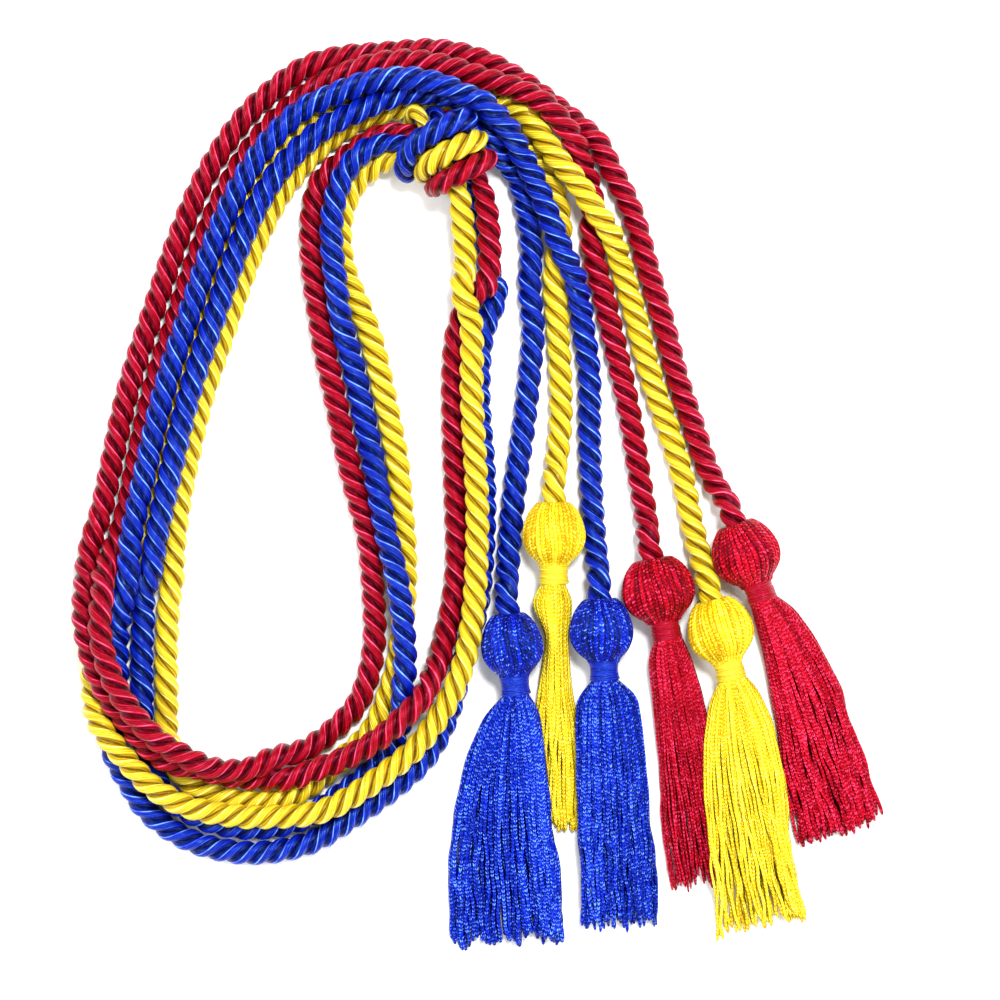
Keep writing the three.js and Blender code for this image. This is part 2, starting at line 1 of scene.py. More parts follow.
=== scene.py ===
"""Honor cord: three twisted satin cords, red, blue and gold, tied together in one overhand knot and laid down in
loose loops, with a tassel of chainette yarns at each of the six ends. Metres outside, millimetres while shaping."""
import math

import bpy
import numpy as np
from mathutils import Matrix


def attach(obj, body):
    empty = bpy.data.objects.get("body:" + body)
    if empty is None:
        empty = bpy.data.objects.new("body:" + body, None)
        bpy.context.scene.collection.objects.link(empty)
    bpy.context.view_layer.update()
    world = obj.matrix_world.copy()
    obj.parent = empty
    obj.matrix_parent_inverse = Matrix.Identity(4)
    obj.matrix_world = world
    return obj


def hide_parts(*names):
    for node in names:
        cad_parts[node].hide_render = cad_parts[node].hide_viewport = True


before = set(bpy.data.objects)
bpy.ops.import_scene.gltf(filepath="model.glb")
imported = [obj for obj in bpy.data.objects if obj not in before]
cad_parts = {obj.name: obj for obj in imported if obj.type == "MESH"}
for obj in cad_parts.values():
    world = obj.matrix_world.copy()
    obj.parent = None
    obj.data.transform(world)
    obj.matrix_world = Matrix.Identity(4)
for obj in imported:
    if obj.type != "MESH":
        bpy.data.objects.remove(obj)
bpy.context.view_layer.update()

MM = 0.001

# The flat grid that the routes and the tassels' places are drawn on, seen from above: right and down.
GRID = 0.32
ORIGIN_RIGHT = 664
ORIGIN_DOWN = 726

CORD_DIAMETER = 7.4
CORD_CLEARANCE = 0.65
KNOT_CLEARANCE = 0.7
FLOOR_CLEARANCE = 0.1
CORD_FULL = 8.0  # over the strands, which fill the clearance between two cords
LAY = 17.8  # length of one turn of a strand
STRANDS = 3
PLY_WIDTH = 0.72  # of the plies that show on a strand
HIGHLIGHT_LINE = 0.8  # of a strand's painted highlight line, from the strand's crest
HIGHLIGHT_WIDTH = 0.27
STRAND_ACROSS = 4.4  # of a strand's open side, from one groove to the next
STRAND_SHIFT = 611.3  # along, between one strand's pattern and the next's
RIB_SHIFT = 3.37  # along, between one head yarn's pattern and the next's
LOOP_LENGTH = 1.25  # of a chainette yarn's loops

HEAD_LENGTH = 19.5
AXIS_HEIGHT = 9
BINDING_LENGTH = 6.4
SKIRT_LENGTH = 78
SKIRT_WIDTH = 33
SKIRT_THICKNESS = 7
CLEARANCE = 0.3
CORD_END_GAP = 0.6

SAMPLE_STEP = 2.8
ROUNDS = 320
SETTLED_ROUNDS = 140
PAIR_ROUNDS = 6
PAIR_REACH = 2.5
HOLD = 0.07
EASE = 0.16
LAST_SHARE = 0.04
PART = 0.45
SINK = 0.03

# One row per tassel: its shade, the grid place where the cord goes in, its lean in degrees, and the skirt's
# sections: place along, reach to the left and right, lift, thickness, further lift of the left and right edge.
TASSELS = {
    "blue_1": ("blue", 508, 612, 5.5, [
        [0, 0.14, 0.13, 0.66, 1.22, 0, 0],
        [0.07, 0.34, 0.22, 0.3, 1.2, 0, 0.1],
        [0.22, 0.54, 0.24, 0.06, 1.15, 0, 0.5],
        [0.45, 0.73, 0.24, 0, 1, 0, 0.7],
        [0.72, 0.86, 0.26, 0, 0.95, 0, 0.7],
        [1, 0.89, 0.23, 0, 0.85, 0, 0.6],
    ]),
    "gold_1": ("gold", 554, 500, 0, [
        [0, 0.13, 0.12, 0.66, 1.22, 0, 0],
        [0.07, 0.24, 0.2, 0.3, 1.25, 0, 0],
        [0.22, 0.08, 0.155, 0.05, 1.6, 0, 0],
        [0.45, 0.17, 0.18, 0, 0.9, 0, 0],
        [0.72, 0.26, 0.34, 0, 0.6, 0, 0],
        [1, 0.24, 0.35, 0, 0.5, 0, 0],
    ]),
    "blue_2": ("blue", 600, 597, 3.5, [
        [0, 0.14, 0.14, 0.66, 1.22, 0, 0],
        [0.07, 0.3, 0.33, 0.3, 1.2, 0.1, 0],
        [0.22, 0.33, 0.36, 0.06, 1.15, 0.5, 0],
        [0.45, 0.35, 0.37, 0, 1.05, 0.7, 0],
        [0.72, 0.36, 0.39, 0, 0.95, 0.7, 0],
        [1, 0.37, 0.41, 0, 0.85, 0.6, 0],
    ]),
    "red_1": ("red", 652, 557, 11, [
        [0, 0.15, 0.15, 0.66, 1.22, 0, 0],
        [0.07, 0.24, 0.2, 0.3, 1.2, 0, 0],
        [0.22, 0.26, 0.25, 0.06, 1.15, 0, 0],
        [0.45, 0.31, 0.26, 0, 1, 0, 0],
        [0.72, 0.4, 0.19, 0, 0.9, 0, 0],
        [1, 0.44, 0.06, 0, 0.8, 0, 0],
    ]),
    "gold_2": ("gold", 712, 598, 14, [
        [0, 0.14, 0.15, 0.66, 1.22, 0, 0],
        [0.07, 0.28, 0.24, 0.3, 1.2, 0.1, 0.1],
        [0.22, 0.43, 0.31, 0.06, 1.15, 0.3, 0.2],
        [0.45, 0.55, 0.28, 0, 1, 0.7, 0.5],
        [0.72, 0.65, 0.16, 0, 0.95, 0.8, 0.5],
        [1, 0.76, 0.15, 0, 0.85, 0.6, 0.5],
    ]),
    "red_2": ("red", 735, 522, 20, [
        [0, 0.14, 0.15, 0.66, 1.22, 0, 0],
        [0.07, 0.15, 0.28, 0.3, 1.2, 0, 0],
        [0.22, 0.18, 0.38, 0.06, 1.15, 0, 0],
        [0.45, 0.26, 0.46, 0, 1, 0, 0],
        [0.72, 0.41, 0.42, 0, 0.9, 0, 0],
        [1, 0.47, 0.37, 0, 0.8, 0, 0],
    ]),
}

# One row per point: right, down, level in cord pitches, and in the knot the share of its
# diameter that the cord keeps there. Each cord starts and ends at a tassel.
ROUTES = {
    "red": ("red_1", "red_2", [
        [648, 524, 0.15], [641, 480, 0], [630, 410, 0], [616, 345, 0], [603, 285, 0], [598, 240, 0],
        [592, 190, 0], [582, 155, 0.5], [568, 130, 0.88], [547, 110, 0.9], [521, 91, 0.88], [485, 78, 0.88],
        [440, 65, 0.9], [400, 59, 0.9], [365, 65, 0.8], [330, 82, 0.4], [300, 105, 0], [262, 140, 0],
        [228, 190, 0], [203, 245, 0], [174, 325, 0], [150, 400, 0], [132, 480, 0], [117, 545, 0.1],
        [105, 590, 1.5], [101, 625, 1.9], [108, 662, 1.95], [127, 702, 1.95], [160, 740, 1.9],
        [205, 766, 1.6], [250, 771, 1.1], [300, 754, 0.5], [333, 731, 0], [359, 703, 0], [369, 674, 0],
        [374, 640, 0], [373, 600, 0], [369, 550, 0], [358, 470, 0], [340, 400, 0], [320, 325, 0],
        [310, 255, 0], [311, 205, 0], [321, 170, 0], [338, 147, 0], [362, 136, 0.3], [388, 130, 0.8, 0.7],
        [412, 130, 1.15, 0.55], [434, 133, 1.2, 0.5], [450, 139, 0.8, 0.5], [464, 147, 0.6, 0.5],
        [481, 152, 0.9, 0.6], [490, 156, 1.6, 0.75], [484, 161, 2.3, 0.9], [462, 172, 2.6, 0.95],
        [440, 183, 2.1, 0.9], [429, 187, 1.1, 0.65], [431, 180, 0.1, 0.5], [431, 152, 0, 0.5],
        [434, 120, 0, 0.5], [443, 112, 0.7, 0.5], [453, 112, 1.4, 0.5], [461, 129, 1.95, 0.5],
        [468, 150, 1.95, 0.5], [475, 170, 1.6, 0.6], [483, 190, 1.2, 0.85], [487, 213, 0.95],
        [489, 250, 0.9], [487, 283, 0.8], [472, 305, 0.1], [458, 323, 0], [453, 360, 0], [453, 430, 0],
        [456, 518, 0], [457, 564, 0], [452, 610, 0], [440, 658, 0.4], [427, 686, 1.2], [409, 711, 1.75],
        [383, 736, 1.6], [348, 757, 1.2], [302, 775, 0.8], [251, 784, 0.3], [213, 778, 0.3],
        [170, 763, 0.6], [138, 740, 1], [112, 706, 1], [93, 665, 1], [84, 625, 1], [83, 590, 0.7],
        [88, 555, 0.1], [98, 520, 0], [110, 472, 0], [129, 385, 0], [152, 314, 0], [179, 230, 0],
        [202, 176, 0], [238, 122, 0], [290, 78, 0], [330, 62, 0], [365, 54, 0], [400, 49, 0], [430, 46, 0],
        [460, 50, 0], [490, 60, 0], [520, 77, 0], [548, 98, 0], [576, 121, 0], [602, 152, 0], [630, 202, 0],
        [650, 270, 0], [666, 326, 0], [682, 391, 0], [700, 445, 0], [720, 492, 0.2],
    ]),
    "blue": ("blue_1", "blue_2", [
        [507, 580, 0.15], [510, 540, 0], [514, 495, 0], [524, 426, 0], [530, 370, 0], [535, 315, 0],
        [533, 255, 0], [527, 209, 0], [518, 173, 0], [501, 138, 0.35], [470, 108, 0.8], [435, 96, 0.87],
        [395, 95, 0.87], [340, 118, 0.87], [290, 158, 0.87], [255, 207, 0.87], [232, 262, 0.87],
        [208, 335, 0.87], [186, 400, 0.87], [168, 472, 0.87], [154, 541, 0.87], [145, 575, 0.4],
        [139, 612, 0], [136, 657, 0], [136, 704, 0], [144, 757, 0], [158, 792, 0], [178, 814, 0],
        [209, 827, 0], [250, 832, 0], [300, 823, 0], [338, 798, 0], [372, 772, 0], [395, 746, 0.2],
        [400, 716, 0.7], [404, 690, 0.9], [405, 655, 1], [403, 620, 1], [399, 585, 0.95], [391, 545, 0.7],
        [377, 492, 0.2], [361, 414, 0], [347, 341, 0.2], [337, 285, 0.9], [332, 245, 0.9], [332, 220, 0.9],
        [335, 200, 0.9], [341, 179, 0.9], [351, 160, 0.9], [369, 146, 0.95], [388, 140, 1.15, 0.75],
        [412, 142, 1.3, 0.5], [434, 146, 1.2, 0.5], [452, 138, 1, 0.5], [465, 128, 1, 0.5],
        [475, 120, 1.7, 0.75], [464, 122, 2.55, 0.95], [441, 133, 2.75, 0.98], [420, 144, 2.45, 0.98],
        [407, 157, 1.9, 0.95], [406, 171, 1.2, 0.75], [412, 180, 0.5, 0.6], [416, 168, 0.6, 0.5],
        [419, 148, 0.6, 0.5], [420, 124, 0.55, 0.5], [428, 108, 0.6, 0.5], [438, 107, 1.3, 0.5],
        [444, 126, 1.9, 0.5], [452, 150, 1.9, 0.5], [461, 170, 1.6, 0.5], [470, 187, 0.8, 0.6],
        [479, 204, 0.3, 0.9], [485, 232, 0], [488, 270, 0], [485, 310, 0], [480, 350, 0], [478, 400, 0],
        [483, 460, 0], [484, 510, 0], [482, 560, 0], [476, 610, 0], [462, 662, 0], [450, 710, 0],
        [428, 757, 0], [402, 783, 0], [366, 810, 0], [315, 841, 0], [277, 852, 0], [239, 854, 0],
        [192, 841, 0], [149, 809, 0], [118, 772, 0], [107, 740, 0], [113, 700, 0], [117, 658, 0],
        [119, 625, 0.2], [121, 589, 0.95], [129, 541, 0.87], [145, 472, 0.87], [167, 380, 0.87],
        [190, 314, 0.87], [210, 250, 0.87], [232, 198, 0.87], [262, 148, 0.87], [304, 106, 0.87],
        [345, 89, 1], [385, 82, 1.6], [425, 83, 1.74], [453, 92, 1.74], [473, 104, 1.7], [492, 118, 1.5],
        [510, 139, 1.25], [529, 167, 1], [545, 205, 0.9], [557, 238, 1], [570, 278, 0.3], [582, 321, 0],
        [590, 370, 0], [590, 430, 0], [592, 490, 0], [597, 560, 0.15],
    ]),
    "gold": ("gold_1", "gold_2", [
        [556, 466, 0.15], [561, 426, 0], [561, 380, 0], [558, 320, 0], [556, 280, 0], [561, 245, 0],
        [560, 212, 0], [551, 180, 0], [533, 151, 0], [507, 128, 0], [470, 113, 0], [430, 105, 0],
        [392, 105, 0], [347, 124, 0], [308, 148, 0], [275, 186, 0], [250, 248, 0], [228, 305, 0],
        [203, 378, 0], [183, 465, 0], [173, 541, 0], [168, 590, 0], [164, 650, 0], [163, 703, 0],
        [167, 752, 0], [183, 784, 0], [215, 796, 0], [264, 801, 0], [300, 792, 0], [332, 768, 0],
        [354, 750, 0], [370, 734, 0], [382, 716, 0], [390, 696, 0], [397, 670, 0], [401, 640, 0],
        [404, 600, 0], [404, 560, 0], [397, 505, 0], [385, 430, 0], [375, 365, 0], [358, 310, 0],
        [343, 270, 0], [338, 235, 0], [341, 207, 0], [351, 185, 0], [365, 169, 0.2], [379, 160, 0.5],
        [392, 156, 0.85, 0.75], [414, 159, 1.2, 0.5], [439, 163, 1.15, 0.5], [459, 155, 1, 0.5],
        [475, 145, 1.05, 0.6], [482, 140, 1.8, 0.75], [474, 144, 2.5, 0.95], [451, 156, 2.75, 0.98],
        [432, 167, 2.35, 0.95], [419, 178, 1.2, 0.65], [420, 172, 0.2, 0.5], [412, 156, 0, 0.5],
        [408, 130, 0, 0.5], [409, 113, 0.4, 0.5], [412, 108, 1.1, 0.58], [417, 111, 1.85, 0.62],
        [426, 128, 1.95, 0.5], [438, 152, 1.95, 0.5], [449, 172, 1.9, 0.6], [459, 190, 1.6, 0.85],
        [462, 215, 1.2], [466, 255, 0.95], [469, 290, 1.2], [472, 325, 1.1], [472, 391, 0.95],
        [475, 450, 0.95], [478, 510, 0.95], [477, 560, 0.95], [474, 610, 0.95], [464, 664, 0.9],
        [446, 706, 0.95], [418, 746, 0.95], [386, 773, 1], [346, 800, 1], [315, 814, 0.9], [264, 818, 0.85],
        [209, 814, 0.85], [180, 805, 0.9], [150, 786, 1], [124, 757, 0.9], [107, 725, 0.4], [97, 690, 0],
        [89, 652, 0], [90, 620, 0], [106, 600, 0], [126, 570, 0], [143, 535, 0], [157, 472, 0],
        [178, 380, 0], [201, 314, 0], [223, 250, 0], [247, 198, 0], [276, 150, 0], [318, 108, 0],
        [360, 84, 0], [400, 74, 0], [430, 73, 0], [458, 81, 0], [484, 96, 0], [503, 108, 0.1],
        [524, 121, 0.4], [547, 139, 0.8], [565, 161, 0.95], [582, 188, 1], [604, 229, 0.5], [619, 266, 0],
        [632, 298, 0], [645, 350, 0], [657, 391, 0], [671, 426, 0], [684, 477, 0], [698, 545, 0.15],
    ]),
}


def place(right, down):
    """A grid place as millimetres on the floor."""
    return np.array([(right - ORIGIN_RIGHT) * GRID, (ORIGIN_DOWN - down) * GRID, 0.0])


def direction(name):
    """The way that a tassel points, from its cord to its skirt."""
    lean = math.radians(TASSELS[name][3])
    return np.array([math.sin(lean), -math.cos(lean), 0.0])


def cord_end(name):
    """Where a cord ends at its tassel, and the point before it, in line with the head's axis."""
    end = place(TASSELS[name][1], TASSELS[name][2])
    end[2] = AXIS_HEIGHT
    before = end - direction(name) * CORD_DIAMETER
    before[2] -= CORD_DIAMETER / 8
    return end, before


def curve_at(points, t):
    """The points of the centripetal curve through the given points, at each t from 0 to 1."""
    last = len(points) - 1
    padded = np.vstack([2 * points[0] - points[1], points, 2 * points[-1] - points[-2]])
    along = np.asarray(t, float) * last
    i = np.minimum(along.astype(int), last - 1)
    w = (along - i)[:, None]
    p0, p1, p2, p3 = padded[i], padded[i + 1], padded[i + 2], padded[i + 3]

    def knot(a, b):
        return np.sqrt(np.maximum(np.linalg.norm(b - a, axis=1), 1e-6))[:, None]

    d0, d1, d2 = knot(p0, p1), knot(p1, p2), knot(p2, p3)
    t1 = ((p1 - p0) / d0 - (p2 - p0) / (d0 + d1) + (p2 - p1) / d1) * d1
    t2 = ((p2 - p1) / d1 - (p3 - p1) / (d1 + d2) + (p3 - p2) / d2) * d1
    c2 = -3 * p1 + 3 * p2 - 2 * t1 - t2
    c3 = 2 * p1 - 2 * p2 + t1 + t2
    return p1 + t1 * w + c2 * w**2 + c3 * w**3


def lengths_along(points):
    """The distance along a polyline to each of its points."""
    return np.r_[0, np.cumsum(np.linalg.norm(np.diff(points, axis=0), axis=1))]


def drawn_samples(start_name, finish_name, rows):
    """The drawn centreline of a cord, as evenly spaced samples with their radius."""
    start, finish = cord_end(start_name), cord_end(finish_name)
    pitch = CORD_DIAMETER + CORD_CLEARANCE
    points, girths = [start[0], start[1]], [1, 1]
    for row in rows:
        girth = row[3] if len(row) > 3 else 1
        at = place(row[0], row[1])
        at[2] = row[2] * pitch + girth * CORD_DIAMETER / 2
        points.append(at)
        girths.append(girth)
    points, girths = np.array(points + [finish[1], finish[0]]), np.array(girths + [1, 1], float)
    parts = len(points) * 20
    shares = np.arange(parts + 1) / parts
    lengths = lengths_along(curve_at(points, shares))
    count = int(lengths[-1] / SAMPLE_STEP + 0.5)
    t = np.interp(np.arange(count + 1) / count * lengths[-1], lengths, shares)
    girth = np.interp(t * (len(points) - 1), np.arange(len(points)), girths)
    return curve_at(points, t), girth * CORD_DIAMETER / 2


def near_pairs(at, radius, cord, index):
    """The pairs of samples near enough to meet, leaving out close neighbours on one cord."""
    squeezed = radius < CORD_DIAMETER / 2 - 0.01
    first, second = [], []
    for i in range(0, len(at), 200):
        block = slice(i, i + 200)
        gap = ((at[block, None, :] - at[None, :, :]) ** 2).sum(axis=2)
        a, b = np.nonzero(gap <= (CORD_DIAMETER + KNOT_CLEARANCE + PAIR_REACH) ** 2)
        first.append(a + i)
        second.append(b)
    a, b = np.concatenate(first), np.concatenate(second)
    a, b = a[b > a], b[b > a]
    reach = radius[a] + radius[b] + np.where(squeezed[a] & squeezed[b], KNOT_CLEARANCE, CORD_CLEARANCE)
    near = np.linalg.norm(at[b] - at[a], axis=1) <= reach + PAIR_REACH
    apart = (index[b] - index[a]) * SAMPLE_STEP
    near &= ~((cord[a] == cord[b]) & (apart < reach * 1.6))
    return a[near], b[near], reach[near]


def settle(drawn_cords):
    """Lets the drawn cords lie on the floor and on each other without passing through one another."""
    drawn = np.vstack([at for at, _ in drawn_cords])
    radius = np.concatenate([r for _, r in drawn_cords])
    counts = [len(r) for _, r in drawn_cords]
    cord = np.repeat(np.arange(len(counts)), counts)
    index = np.concatenate([np.arange(n) for n in counts])
    last = np.repeat(counts, counts) - 1
    free = (index >= 3) & (index <= last - 3)
    inner = np.nonzero(free)[0]
    at = drawn.copy()
    pull = np.array([1, 1, 0.6])
    for turn in range(ROUNDS):
        if turn % PAIR_ROUNDS == 0:
            a, b, reach = near_pairs(at, radius, cord, index)
        share = 1 if turn < ROUNDS - SETTLED_ROUNDS else LAST_SHARE
        push = np.zeros_like(at)
        push[:, 2] = -SINK * share
        push[inner] += (drawn[inner] - at[inner]) * pull * HOLD * share
        push[inner] += ((at[inner - 1] + at[inner + 1]) / 2 - at[inner]) * EASE * share
        apart = at[b] - at[a]
        distance = np.linalg.norm(apart, axis=1)
        part = apart * (np.maximum(reach - distance, 0) * PART / np.maximum(distance, 0.001))[:, None]
        for axis in range(3):
            push[:, axis] += np.bincount(b, part[:, axis], len(at)) - np.bincount(a, part[:, axis], len(at))
        at[inner] += push[inner]
        at[inner, 2] = np.maximum(at[inner, 2], radius[inner] + FLOOR_CLEARANCE)
    edges = np.cumsum([0] + counts)
    return [(at[i:j], radius[i:j]) for i, j in zip(edges[:-1], edges[1:])]


def unit(vectors):
    return vectors / np.maximum(np.linalg.norm(vectors, axis=-1, keepdims=True), 1e-9)


def tube_quads(rings, sides):
    """The quads between the rings of a tube, facing out."""
    ring = np.arange(rings - 1)[:, None] * sides
    side = np.arange(sides)[None, :]
    after = (side + 1) % sides
    return np.stack([ring + side, ring + after, ring + after + sides, ring + side + sides], axis=2).reshape(-1, 4)


def grid_uv(along, around):
    """The two coordinates of each quad's corners, from rows along the tube and edges around it."""
    rings, sides = len(along), len(around) - 1
    low, high = along[:-1, None].repeat(sides, 1), along[1:, None].repeat(sides, 1)
    left, right = around[None, :-1].repeat(rings - 1, 0), around[None, 1:].repeat(rings - 1, 0)
    corners = [(low, left), (low, right), (high, right), (high, left)]
    return np.stack([np.stack(corner, axis=2) for corner in corners], axis=2).reshape(-1, 4, 2)


def mesh_piece(name, points, quads, layers, triangles=()):
    """A mesh object from points in millimetres, with one UV layer for each named set of corners."""
    triangles = np.asarray(triangles, int).reshape(-1, 3)
    mesh = bpy.data.meshes.new(name)
    mesh.vertices.add(len(points))
    mesh.vertices.foreach_set("co", (np.asarray(points) * MM).astype(np.float32).ravel())
    corners = np.concatenate([quads.ravel(), triangles.ravel()])
    mesh.loops.add(len(corners))
    mesh.loops.foreach_set("vertex_index", corners.astype(np.int32))
    starts = np.concatenate([np.arange(len(quads)) * 4, quads.size + np.arange(len(triangles)) * 3])
    mesh.polygons.add(len(starts))
    mesh.polygons.foreach_set("loop_start", starts.astype(np.int32))
    mesh.polygons.foreach_set("use_smooth", np.ones(len(starts), bool))
    for layer, uv in layers.items():
        values = np.zeros((len(corners), 2), np.float32)
        values[:quads.size] = uv.reshape(-1, 2)
        mesh.uv_layers.new(name=layer).data.foreach_set("uv", values.ravel())
    mesh.update(calc_edges=True)
    piece = bpy.data.objects.new(name, mesh)
    bpy.context.scene.collection.objects.link(piece)
    return piece


def dress(piece, material):
    piece.data.materials.append(material)
    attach(piece, "root")
    return piece


# Materials

def nodes_of(name):
    material = bpy.data.materials.new(name)
    material.use_nodes = True
    tree = material.node_tree
    return material, tree, tree.nodes["Principled BSDF"]


class Graph:
    """Short calls for the few kinds of node that the satin and yarn materials share."""

    def __init__(self, tree):
        self.tree = tree

    def node(self, kind, **values):
        node = self.tree.nodes.new(kind)
        for key, value in values.items():
            setattr(node, key, value)
        return node

    def link(self, source, socket):
        if isinstance(source, (int, float)):
            socket.default_value = source
        else:
            self.tree.links.new(source, socket)

    def math(self, operation, a, b=0.0, c=0.0):
        node = self.node("ShaderNodeMath", operation=operation)
        for source, socket in zip((a, b, c), node.inputs):
            self.link(source, socket)
        return node.outputs[0]

    def layer(self, name):
        split = self.node("ShaderNodeSeparateXYZ")
        self.tree.links.new(self.node("ShaderNodeUVMap", uv_map=name).outputs[0], split.inputs[0])
        return split.outputs[0], split.outputs[1]

    def noise(self, x, y, z=0.0, scale=1.0, detail=2.0, roughness=0.5):
        join = self.node("ShaderNodeCombineXYZ")
        for source, socket in zip((x, y, z), join.inputs):
            self.link(source, socket)
        noise = self.node("ShaderNodeTexNoise")
        self.tree.links.new(join.outputs[0], noise.inputs["Vector"])
        noise.inputs["Scale"].default_value = scale
        noise.inputs["Detail"].default_value = detail
        noise.inputs["Roughness"].default_value = roughness
        return noise.outputs["Fac"]

    def ramp(self, value, stops):
        ramp = self.node("ShaderNodeValToRGB")
        elements = ramp.color_ramp.elements
        for element, (at, colour) in zip(elements, (stops[0], stops[-1])):
            element.position = at
            element.color = (*colour, 1)
        for at, colour in stops[1:-1]:
            elements.new(at).color = (*colour, 1)
        self.tree.links.new(value, ramp.inputs[0])
        return ramp.outputs[0]

    def bump(self, height, depth, normal=None):
        bump = self.node("ShaderNodeBump")
        bump.inputs["Distance"].default_value = depth * MM
        self.tree.links.new(height, bump.inputs["Height"])
        if normal is not None:
            self.tree.links.new(normal, bump.inputs["Normal"])
        return bump.outputs[0]


# Per shade: the painted shade deep in a fold, the colour in the body of a strand or yarn, the lighter colour that
# random tone and the painted highlight reach on its crest, and the colour of its brightest painted highlight, also
# its specular tint. The first table is for the satin of the cords and bindings, the second for the yarns of the
# heads and skirts.
SHADES = {
    "red": ((0.015, 0.0, 0.001), (0.17, 0.0, 0.003), (0.44, 0.002, 0.014), (0.95, 0.12, 0.28)),
    "blue": ((0.0, 0.0, 0.02), (0.0, 0.003, 0.17), (0.002, 0.02, 0.56), (0.22, 0.46, 1.0)),
    "gold": ((0.12, 0.05, 0.0), (0.58, 0.38, 0.004), (0.86, 0.74, 0.045), (1.0, 0.97, 0.36)),
}
YARN_SHADES = {
    "red": ((0.05, 0.0, 0.0004), (0.26, 0.0005, 0.003), (0.58, 0.003, 0.014), (0.95, 0.07, 0.21)),
    "blue": ((0.0, 0.0, 0.03), (0.0, 0.002, 0.24), (0.002, 0.016, 0.66), (0.16, 0.37, 1.0)),
    "gold": ((0.42, 0.21, 0.0), (0.75, 0.52, 0.006), (0.84, 0.74, 0.03), (0.96, 0.96, 0.2)),
}


def satin(shade, highlight_strength=1.0):
    """The laid strands of a cord: fine glossy filaments that run along each strand, a painted highlight line near a
    strand's crest, and painted shade where two strands meet. Its second argument is how much the painted highlight
    lines stand out."""
    deep, body, crest, tint = SHADES[shade]
    material, tree, surface = nodes_of(f"{shade} satin strand" if highlight_strength == 1 else f"{shade} wound satin")
    g = Graph(tree)
    along, across = g.layer("strand")
    drift = g.noise(g.math("MULTIPLY", along, 0.09), 0.0, 3.0, detail=1.0)
    line = g.math("ADD", across, g.math("MULTIPLY_ADD", drift, 1.3, -0.65))
    fine = g.noise(g.math("MULTIPLY", along, 0.09), g.math("MULTIPLY", line, 5.0), detail=2.0)
    broad = g.noise(g.math("MULTIPLY", along, 0.13), g.math("MULTIPLY", line, 1.5), 7.0, detail=1.0)
    ply = g.math("ABSOLUTE", g.math("SINE", g.math("MULTIPLY", line, math.pi / PLY_WIDTH)))
    ply = g.math("POWER", ply, 0.6)
    # Painted shade: darker towards a strand's sides, where it meets the next strand.
    edge = g.math("POWER", g.math("DIVIDE", g.math("ABSOLUTE", across), STRAND_ACROSS / 2), 2.2)
    # Painted highlight: a bright line along each strand near its crest, and a fainter second line across from it,
    # both broken into patches.
    off = g.math("ABSOLUTE", g.math("SUBTRACT", line, HIGHLIGHT_LINE))
    highlight_line = g.math("POWER", g.math("MAXIMUM", g.math("MULTIPLY_ADD", off, -1 / HIGHLIGHT_WIDTH, 1.0), 0.0), 0.7)
    second = g.math("ABSOLUTE", g.math("ADD", line, HIGHLIGHT_LINE * 1.1))
    second = g.math("MAXIMUM", g.math("MULTIPLY_ADD", second, -1.6 / HIGHLIGHT_WIDTH, 1.0), 0.0)
    highlight_line = g.math("ADD", highlight_line, g.math("MULTIPLY", second, 0.55))
    patchy = g.noise(g.math("MULTIPLY", along, 0.35), g.math("MULTIPLY", line, 0.4), 11.0, detail=2.0)
    highlight_line = g.math("MULTIPLY", highlight_line, g.math("MULTIPLY_ADD", patchy, 1.5, -0.1))
    tone = g.math("ADD", g.math("MULTIPLY", fine, 0.5), g.math("MULTIPLY", broad, 0.34))
    # Painted shade in the gaps between plies, matching the plies' bump.
    tone = g.math("ADD", tone, g.math("MULTIPLY_ADD", ply, 0.16, -0.1))
    # The painted shade where strands meet darkens the tone.
    tone = g.math("SUBTRACT", tone, g.math("MULTIPLY", edge, 0.42))
    # The painted highlight lines lighten the tone.
    tone = g.math("ADD", tone, g.math("MULTIPLY_ADD", highlight_line, 0.88 * highlight_strength, 0.03 * (1 - highlight_strength)))
    # deep is painted shade, tint the colour of the painted highlight.
    colour = g.ramp(tone, [(0.08, deep), (0.36, body), (0.68, crest), (1.0, tint)])
    tree.links.new(colour, surface.inputs["Base Color"])
    plies = g.bump(ply, 0.16)
    tree.links.new(g.bump(fine, 0.2, plies), surface.inputs["Normal"])
    surface.inputs["Roughness"].default_value = 0.3
    surface.inputs["Specular IOR Level"].default_value = 0.55 if highlight_strength == 1 else 0.8
    surface.inputs["Specular Tint"].default_value = (*tint, 1)
    return material


